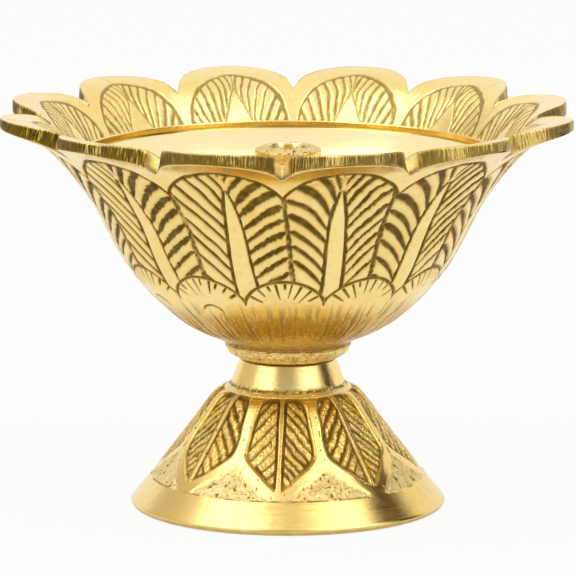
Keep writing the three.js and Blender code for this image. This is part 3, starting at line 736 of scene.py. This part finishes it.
def build_bowl():
    rows = Rows(columns=PETAL_COLUMNS * PETALS)
    azimuth = rows.azimuth[None, :]
    turn = rows.turn[None, :]
    across = across_petal(azimuth)
    notch_angle = HALF_PETAL - np.abs(across)
    loss = np.array(PETAL_LOSS)[np.floor(azimuth / (2 * HALF_PETAL)).astype(int)]
    reach = petal_reach(across)
    edge_radius = mix(NOTCH_RADIUS, TIP_RADIUS - loss, reach) - FACET_BULGE
    facet = NOTCH_FACET * (1 - reach) + 0.5 * np.clip(1 - notch_angle / 2.2, 0, 1)
    upper_radius = edge_radius - facet
    edge_low = BOWL_SKIN.height(edge_radius)
    edge_high = FLARE_SKIN.height(upper_radius)
    add_boss(rows)

    share = shares(BOWL_ROWS)
    height = mix(BOWL_POINTS[0][1], edge_low, share)
    relief, finish_and_shade = bowl_relief(azimuth, height)
    keep = smooth(0, 0.5, edge_low - height)
    rows.add(*BOWL_SKIN.offset(height, relief * keep), **finish_and_shade)

    share = shares(EDGE_ROWS)
    bevel = 0.16 * np.clip(np.abs(2 * share - 1) - 0.7, 0, 1) / 0.3
    strokes = 0.05 * noise(turn, share, (900, 3), 55)
    in_facet = 1 - smooth(1.3, 1.9, notch_angle + 0.25 * noise(turn, share, (360, 3), 54))
    face = mix(edge_radius, upper_radius, share) - bevel + strokes * (1 - in_facet) - 0.08
    filed = (1 - in_facet) * smooth(0, 0.1, share) * smooth(0, 0.1, 1 - share)
    # The file marks are laid darker on the left petals and lighter on the right ones: painted shade,
    # as the light falls on them
    filed = filed * (0.87 - 0.13 * np.sin(np.radians(azimuth)))
    # The notch's facet is painted pale as a highlight, and darkened towards its foot under the V's
    # point as painted shadow
    darkening = in_facet * (0.12 + 0.45 * (1 - smooth(0.1, 0.4, share)))
    height = mix(edge_low, edge_high, share)
    rows.add(face, height, filed=filed, patina=darkening, rough=0.3, pale=0.9 * in_facet)

    share = shares(FLARE_ROWS)[1:]
    radius = mix(upper_radius, STEP_RADIUS, share)
    cut = inner_leaf(azimuth, radius)
    polish = 0.03 * noise(turn, share, (72, 8), 56) + 0.01 * noise(turn, share, (220, 20), 57)
    keep = smooth(0, 0.4, upper_radius - radius)
    flare = FLARE_SKIN.height(radius) + (polish - INNER_CUT_DEPTH * cut) * keep
    patina = 0.62 * smooth(0.2, 0.9, cut)
    # Amber in the cuts of the inner leaves is painted shade; the patina in them is real
    rows.add(radius, flare, patina=patina, warm=0.4 * cut, rough=0.3 * cut + 0.05)

    inside_heights = [BOWL_POINTS[3][1], 23.35, BOWL_POINTS[2][1], 12.45, BOWL_POINTS[1][1]]
    inside = BOWL_SKIN.inner(inside_heights, WALL)
    floor = BOWL_POINTS[0][1] + WALL
    step_foot = (STEP_RADIUS - 0.05, STEP_HEIGHT - STEP_DROP)
    step = [(STEP_RADIUS, STEP_HEIGHT - 0.12), (STEP_RADIUS - 0.02, STEP_HEIGHT - 0.6), step_foot]
    # The step under the flare is painted amber and a little dark as its shadow
    rows.circles(step, warm=0.8, patina=0.12)
    seat = (SEAL_RADIUS + SEAT_MARGIN, floor)
    # The turned inside is painted pale as its bright sheen, a painted highlight
    rows.circles(spline([step_foot, *inside, seat], 10)[1:], turned=1.0, pale=0.8)
    hole = [(HOLE_RADIUS + 0.3, floor), (HOLE_RADIUS, floor - 0.15), (HOLE_RADIUS, floor / 2)]
    rows.circles([(6.5, floor), *hole])
    bowl = rows.mesh("bowl_carved", BOSS, closed=True)
    bowl.data.materials.append(carved_brass("bowl_brass"))
    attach(bowl, "lamp")
    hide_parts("bowl")


# Foot

FOOT_SKIN = Skin(FOOT_POINTS)
FOOT_LEAF_TIP, FOOT_LEAF_POINT = 6.9, 6.0
RIBBON_WIDTH, RIBBON_SPAN, MIDRIB = 2.5, 2.1, 0.45
FOOT_CUT_DEPTH, PANEL_DEPTH, PEBBLE_HEIGHT = 0.5, 0.22, 0.13


def foot_leaf_tip(across):
    """Height of a leaf's lower edge: a point that opens upwards."""
    return FOOT_LEAF_TIP + FOOT_LEAF_POINT * np.abs(across / HALF_FOOT_LEAF)


def foot_vein_slope(root):
    """Slope of the foot leaves' veins, which fall outwards."""
    return 0.95 + 0 * root


def rounded_least(radius, *distances):
    """The least of some distances, with its corners rounded."""
    return -radius * np.log(sum(np.exp(-distance / radius) for distance in distances))


def foot_relief(azimuth, height):
    """Relief in millimetres and the masks of the foot's carved bell, painted shade among them."""
    local = (azimuth - FOOT_TURN + HALF_FOOT_LEAF) % (2 * HALF_FOOT_LEAF) - HALF_FOOT_LEAF
    leaf = np.floor(((azimuth - FOOT_TURN + HALF_FOOT_LEAF) % 360) / (2 * HALF_FOOT_LEAF))
    turn = azimuth / 360 + 0 * height
    rise = height / FOOT_SPAN
    radius = FOOT_SKIN.radius(height)
    wave = 0.2 * noise(turn, rise, (64, 9), 61)
    aside = np.radians(np.abs(local)) * radius
    half = np.radians(HALF_FOOT_LEAF) * radius - RIBBON_WIDTH / 2 + wave
    side = np.where(local < 0, 0, 1)
    over_tip = across_line(foot_leaf_tip, local, height + wave, radius)
    under_top = FOOT_CROWN + 0.3 - height
    inside = rounded_least(0.45, half + 0.3 - aside, over_tip + 0.15, under_top)
    ground = smooth(-0.25, 0.6, inside)
    rib = MIDRIB * (1 + 0.2 * noise(turn, rise, (16, 10), 62))
    midrib = groove(aside, 2 * rib, 0.15)
    bold = side == (leaf == FOOT_LEAVES - 1)
    wobble = 0.25 * noise(turn, rise, (70, 9), 63) + 0.4 * pick(leaf * 2 + side, 64)
    pitch = np.where(bold, 1.95, 1.55)
    beside = np.maximum(aside - MIDRIB, 0)
    away, number = vein_lines(beside, -(height + wobble), pitch, foot_vein_slope, -40)
    key = vein_key(leaf, side, number)
    width = np.where(bold, 1.15, 0.78)
    width = width * (1 + 0.25 * pick(key, 65) + 0.2 * noise(turn, rise, (140, 24), 66))
    ends = smooth(0.2, 0.6, aside - MIDRIB) * smooth(0.3, 0.75, inside + 0.2 * pick(key, 60))
    vein = groove(away + 0.12 * noise(turn, rise, (220, 40), 59), width, 0.3) * ends
    raised = np.maximum(midrib, vein * (0.74 + 0.14 * pick(key, 75)))
    sunk = ground * (1 - raised)
    band = across_line(foot_leaf_tip, local, height, radius)
    over_band = height - FOOT_BAND
    panel = smooth(-0.2, 0.5, -band - RIBBON_SPAN + wave) * smooth(0.1, 0.5, over_band)
    panel_edge = groove(-band - RIBBON_SPAN + wave, 0.4, 0.25) * smooth(0.2, 0.8, over_band)
    pebble = 0.6 * noise(turn, rise, (420, 60), 67) + 0.6 * noise(turn, rise, (150, 20), 76)
    pits = np.clip(noise(turn, rise, (300, 44), 68) - 0.55, 0, 1) * panel
    nicks = np.clip(noise(turn, rise, (260, 30), 58) - 0.72, 0, 1)
    nicks = nicks * smooth(0, 1, over_band) * (1 - panel)
    dots = np.maximum(pits, nicks)
    polish = 0.03 * noise(turn, rise, (48, 8), 69)
    relief = -FOOT_CUT_DEPTH * sunk - panel * (PANEL_DEPTH + PEBBLE_HEIGHT * pebble)
    relief = relief - 0.08 * panel_edge + polish - 0.4 * dots
    relief = relief + 0.07 * pebble * ground * (1 - midrib)
    stain = np.maximum(panel * (0.12 + 0.2 * pebble), 0.4 * panel_edge * (0.5 + 0.5 * pebble))
    patina = np.maximum((0.9 + 0.12 * pebble) * smooth(0.2, 0.9, sunk), stain)
    patina = np.maximum(patina, 0.85 * smooth(0, 0.2, dots))
    rough = np.maximum(panel, 0.8 * ground * (1 - 0.7 * raised)) + 0.05
    # Amber over the leaves is painted shade: more towards the neck under the bowl's shadow, most on
    # the sunk ground and along its banks, less on the raised veins, none on the panels
    shade = 0.14 + 0.3 * smooth(12.5, 20, height) + 0.1 * noise(turn, rise, (40, 8), 77)
    bank_shade = smooth(0.1, 0.6, ground) * (1 - smooth(0.6, 0.95, ground))
    warm = shade + ground * mix(0.5, 0.14, raised) + 0.3 * bank_shade
    warm = warm * (1 - panel)
    return relief, {"patina": patina, "rough": rough, "warm": warm, "pale": 0.3 * panel}


def add_neck(rows):
    """The sloping ledge, with dirt against the turned neck, and the neck up to its flat top."""
    turn = rows.turn[None, :]
    share = shares(LEDGE_ROWS)
    crown = FOOT_SKIN.radius(FOOT_CROWN)
    lumps = 0.1 * noise(turn, share, (70, 4), 71) * np.sin(np.pi * share)
    clumps = smooth(-0.3, 0.5, noise(turn, share, (210, 5), 72) + 1.1 * share - 0.6)
    dirt = 0.85 * clumps * smooth(0.5, 0.8, share)
    ledge_top = NECK_FOOT - 0.25
    radius = mix(crown, NECK_BASE_RADIUS + 0.1, share) + lumps
    rows.add(radius, mix(FOOT_CROWN + 0.02, ledge_top, share), patina=dirt, rough=0.6)
    share = shares(NECK_ROWS)
    chatter = 0.012 * noise(turn, share, (200, 10), 73) * (1 - smooth(0.0, 0.5, share))
    cone = mix(NECK_BASE_RADIUS, NECK_TOP_RADIUS, share) + chatter
    dirt = 0.5 * (1 - smooth(0.02, 0.1, share)) * smooth(-0.3, 0.4, noise(turn, share, (110, 3), 74))
    rows.add(cone, mix(NECK_FOOT, NECK_TOP - 0.15, share), patina=dirt, turned=1.0)


def build_foot():
    rows = Rows(columns=FOOT_LEAF_COLUMNS * FOOT_LEAVES)
    azimuth = rows.azimuth[None, :]
    turn = rows.turn[None, :]
    edge_radius, edge_height = FOOT_POINTS[0]
    rests = [(edge_radius - 3.2, 0), (edge_radius - 1.4, 0), (edge_radius - 0.65, 0)]
    edge = [(edge_radius - 0.3, 0.2), (edge_radius - 0.05, 0.55)]
    rows.circles([*rests, *edge], turned=1.0, patina=0.4, warm=0.3)
    height = np.linspace(edge_height, FOOT_BAND, BAND_ROWS)[:, None]
    rows.add(FOOT_SKIN.radius(height), height, turned=1.0, warm=0.2)
    height = np.linspace(FOOT_BAND, FOOT_CROWN, BELL_ROWS)[1:, None]
    relief, finish_and_shade = foot_relief(azimuth, height)
    keep = smooth(0, 0.3, height - FOOT_BAND) * smooth(0, 0.2, FOOT_CROWN - height)
    ragged = smooth(-0.5, 0.6, noise(turn, 0 * height, (90, 1), 70))
    ledge = groove(height - FOOT_BAND - 0.1, 0.45) * ragged
    finish_and_shade["patina"] = np.maximum(finish_and_shade["patina"], 0.75 * ledge)
    rows.add(*FOOT_SKIN.offset(height, relief * keep), **finish_and_shade)
    add_neck(rows)

    web_under = NECK_TOP - WEB
    top = [(NECK_TOP_RADIUS - 0.15, NECK_TOP), (HOLE_RADIUS + 0.2, NECK_TOP)]
    hole = [(HOLE_RADIUS, NECK_TOP - 0.2), (HOLE_RADIUS, web_under)]
    hollow = [(WEB_HOLLOW_RADIUS, web_under), (WEB_HOLLOW_RADIUS, FOOT_SHOULDER - WALL / 2)]
    rows.circles([*top, *hole, *hollow], patina=0.3, rough=0.4)
    inside_heights = [16.6, 13.2, 9.2, FOOT_BAND - WALL / 2]
    inside = FOOT_SKIN.inner(inside_heights, WALL)
    rows.circles(spline([*inside, rests[0]], 12)[:-1], patina=0.3, rough=0.6)
    foot = rows.mesh("foot_carved", 0, closed=True)
    foot.data.materials.append(carved_brass("foot_brass"))
    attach(foot, "lamp")
    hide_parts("foot")


# Wick post: the wall and depth of its bore, the solid crown and bead over it, and the flower head

POST_WALL, POST_BORE, POST_CROWN, POST_BEAD = 1.8, 7.2, 2.3, 0.3
HEAD_HEIGHT = 2.4
CUP_RADIUS, CUP_LOBES, CUP_LOBE_DEPTH, CUP_LOBE_BOW = 3.6, 6, 0.6, 0.7


def build_post():
    rows = Rows(columns=POST_COLUMNS)
    turn = rows.turn[None, :]
    barrel = HOLE_RADIUS + POST_WALL
    bead = barrel + POST_BEAD
    barrel_top = POST_BORE + POST_CROWN
    head_low = POST_HEIGHT - HEAD_HEIGHT
    bore = [(HOLE_RADIUS, POST_BORE), (HOLE_RADIUS, 0)]
    rows.circles([*bore, (POST_RADIUS - 0.15, 0), (POST_RADIUS, 0.15)])
    flange = [(POST_RADIUS, 0.2), (POST_RADIUS, 1.5), (barrel + 0.3, 1.75), (barrel, 2.2)]
    turned = [(barrel, barrel_top - 1.4), (bead, barrel_top - 0.7), (bead, barrel_top - 0.1)]
    stem = [(3.9, barrel_top + 0.6), (2.5, barrel_top + 1.7), (2.5, head_low - 1.7)]
    under_head = [(4.0, head_low - 0.55), (5.1, head_low - 0.1), (POST_RADIUS - 0.15, head_low + 0.5)]
    rows.circles(spline([*flange, *turned, *stem, *under_head], 8)[1:])
    share = shares(HEAD_ROWS)
    top = POST_HEIGHT - 0.3
    dents = 0.07 * noise(turn, share, (60, 6), 81)
    side = mix(head_low + 0.6, top - 0.5, share)
    # The head's side is painted amber as a painted reflection of the brass round it
    rows.add(POST_RADIUS - 0.17 + dents * np.sin(np.pi * share), side, warm=0.35, rough=0.5)
    share = shares(RING_ROWS)
    pit = np.clip(noise(turn, share, (96, 6), 82) - 0.4, 0, 1)
    grain = noise(turn, share, (140, 8), 83)
    ring_radius = mix(POST_RADIUS - 0.25, 3.75, share)
    ring_height = top - 0.35 + 0.62 * np.sin(np.pi / 2 * share) - 0.3 * pit + 0.04 * grain
    speckle = smooth(0.0, 0.25, pit) * 0.85 + 0.08 * (1 + grain)
    rows.add(ring_radius, ring_height, patina=speckle, rough=0.8)
    lobe = np.abs(np.cos(np.radians(rows.azimuth * CUP_LOBES / 2)))[None, :] ** CUP_LOBE_BOW
    share = shares(CUP_ROWS)
    cup_radius = CUP_RADIUS - 0.15 * share - CUP_LOBE_DEPTH * lobe * smooth(0, 1, share)
    wall = mix(POST_HEIGHT - 0.08, POST_HEIGHT - 1.3, share)
    # The cup's broad lobes are painted dark amber as painted shade, and its creases and rim pale as
    # painted highlight
    lobe_shade = smooth(0.55, 0.95, lobe) * smooth(0, 0.4, share)
    rows.add(cup_radius, wall, patina=0.35 * lobe_shade, warm=0.9 * lobe_shade, pale=1 - lobe_shade, rough=0.3)
    rows.circles([(1.9, POST_HEIGHT - 1.65), (0.8, POST_HEIGHT - 1.7)], patina=0.5, rough=0.4)
    post = rows.mesh("wick_post_turned", POST, closed=False)
    post.data.materials.append(carved_brass("post_brass"))
    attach(post, "post")
    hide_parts("wick_post")


# Hidden hardware keeps its CAD solids and gets finished materials

def finish_hardware():
    for node in ("tie_stud", "hex_nut", "flat_washer"):
        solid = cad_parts[node]
        solid.data.materials.clear()
        solid.data.materials.append(hardware_brass(node + "_brass"))
    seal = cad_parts["oil_seal"]
    seal.data.materials.clear()
    seal.data.materials.append(oiled_fibre("seal_fibre"))


# Floor, backdrop, light and camera

FLOOR_SIZE, FLOOR_DROP, FLOOR_WHITENESS = 6.0, 0.0002, 0.9
WORLD_LIGHT = 0.65
CARD_BROWN, CARD_TAN, CARD_GREY = (0.07, 0.03, 0.004), (0.84, 0.78, 0.66), (0.75, 0.72, 0.66)
IMAGE_SIZE = 576


def seen_share(tree, most):
    """A share that is most where the camera, gloss or glass looks at the surface, and else 0."""
    path = tree.nodes.new("ShaderNodeLightPath")
    total = path.outputs["Is Camera Ray"]
    for ray in ("Is Glossy Ray", "Is Transmission Ray"):
        added = tree.nodes.new("ShaderNodeMath")
        added.operation = "ADD"
        added.use_clamp = True
        tree.links.new(total, added.inputs[0])
        tree.links.new(path.outputs[ray], added.inputs[1])
        total = added.outputs[0]
    scaled = tree.nodes.new("ShaderNodeMath")
    scaled.operation = "MULTIPLY"
    scaled.inputs[1].default_value = most
    tree.links.new(total, scaled.inputs[0])
    return scaled.outputs[0]


def white_where_seen(tree, plain, white, most):
    """Mixes the plain shader with the white one, where something looks at it."""
    mixed = tree.nodes.new("ShaderNodeMixShader")
    tree.links.new(seen_share(tree, most), mixed.inputs[0])
    tree.links.new(plain, mixed.inputs[1])
    tree.links.new(white, mixed.inputs[2])
    return mixed.outputs[0]


def build_floor():
    """A pale floor that reads as white, and still takes a part of the lamp's shadow."""
    bpy.ops.mesh.primitive_plane_add(size=FLOOR_SIZE, location=(0, 0, -FLOOR_DROP))
    floor = bpy.context.object
    floor.name = "floor"
    material = bpy.data.materials.new("floor_white")
    material.use_nodes = True
    tree = material.node_tree
    surface = tree.nodes["Principled BSDF"]
    surface.inputs["Base Color"].default_value = (0.93, 0.925, 0.915, 1)
    surface.inputs["Roughness"].default_value = 0.7
    white = tree.nodes.new("ShaderNodeEmission")
    white.inputs["Strength"].default_value = 1.0
    output = tree.nodes["Material Output"]
    mixed = white_where_seen(tree, surface.outputs[0], white.outputs[0], FLOOR_WHITENESS)
    tree.links.new(mixed, output.inputs["Surface"])
    floor.data.materials.append(material)


def build_world():
    world = bpy.data.worlds.new("studio")
    bpy.context.scene.world = world
    world.use_nodes = True
    tree = world.node_tree
    tree.nodes.clear()
    light = tree.nodes.new("ShaderNodeBackground")
    light.inputs["Color"].default_value = (1.0, 0.985, 0.96, 1)
    light.inputs["Strength"].default_value = WORLD_LIGHT
    white = tree.nodes.new("ShaderNodeBackground")
    white.inputs["Color"].default_value = (1, 1, 1, 1)
    white.inputs["Strength"].default_value = 1.0
    output = tree.nodes.new("ShaderNodeOutputWorld")
    mixed = white_where_seen(tree, light.outputs[0], white.outputs[0], 1.0)
    tree.links.new(mixed, output.inputs["Surface"])


def faces_bowl(thing, place):
    """Puts a light or a card at a place and turns its -Z side to the middle of the bowl."""
    thing.location = place
    low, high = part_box("bowl")
    thing.rotation_euler = (low.lerp(high, 0.5) - thing.location).to_track_quat("-Z", "Y").to_euler()


def soft_light(name, place, size, power):
    """A square soft box. The camera doesn't see it, gloss does."""
    light = bpy.data.lights.new(name, "AREA")
    light.shape = "SQUARE"
    light.size = size
    light.energy = power
    box = bpy.data.objects.new(name, light)
    faces_bowl(box, place)
    box.visible_camera = False
    bpy.context.scene.collection.objects.link(box)


def studio_card(name, azimuth, distance, height, size, colour):
    """A card that only gloss and glass see, for a darker stripe in the metal."""
    turn = math.radians(azimuth)
    bpy.ops.mesh.primitive_plane_add(size=1.0)
    card = bpy.context.object
    card.name = name
    card.scale = (*size, 1)
    faces_bowl(card, (distance * math.sin(turn), -distance * math.cos(turn), height))
    material = bpy.data.materials.new(name)
    material.use_nodes = True
    surface = material.node_tree.nodes["Principled BSDF"]
    surface.inputs["Base Color"].default_value = (*colour, 1)
    surface.inputs["Roughness"].default_value = 0.9
    card.data.materials.append(material)
    card.visible_camera = False
    card.visible_shadow = False
    card.visible_diffuse = False


def build_camera():
    """The camera that fits the photograph: far away, a little above the rim."""
    azimuth, distance, rise, pitch, focal_pixels = 1.36, 1179.0, 261.0, 10.67, 6767.0
    camera = bpy.data.cameras.new("camera")
    camera.sensor_width = 36.0
    camera.lens = focal_pixels * camera.sensor_width / IMAGE_SIZE
    camera.clip_start, camera.clip_end = 0.05, 20.0
    placed = bpy.data.objects.new("camera", camera)
    angle = math.radians(azimuth)
    placed.location = (distance * math.sin(angle) * MM, -distance * math.cos(angle) * MM, rise * MM)
    placed.rotation_euler = (math.radians(90 - pitch), 0, angle)
    bpy.context.scene.collection.objects.link(placed)
    bpy.context.scene.camera = placed


build_camera()
build_bowl()
build_foot()
build_post()
finish_hardware()
build_floor()
build_world()
soft_light("key", place=(-0.68, -0.42, 0.88), size=0.9, power=3.8)
soft_light("fill", place=(0.62, -0.42, 0.78), size=0.7, power=2.3)
studio_card("card_foot", azimuth=93, distance=0.11, height=0.085, size=(0.06, 0.17), colour=CARD_BROWN)
studio_card("card_left", azimuth=-104, distance=0.9, height=0.4, size=(0.9, 0.6), colour=CARD_TAN)
studio_card("card_front", azimuth=-3, distance=2.4, height=1.2, size=(2.0, 1.6), colour=CARD_GREY)
bpy.context.scene.view_settings.view_transform = "Standard"
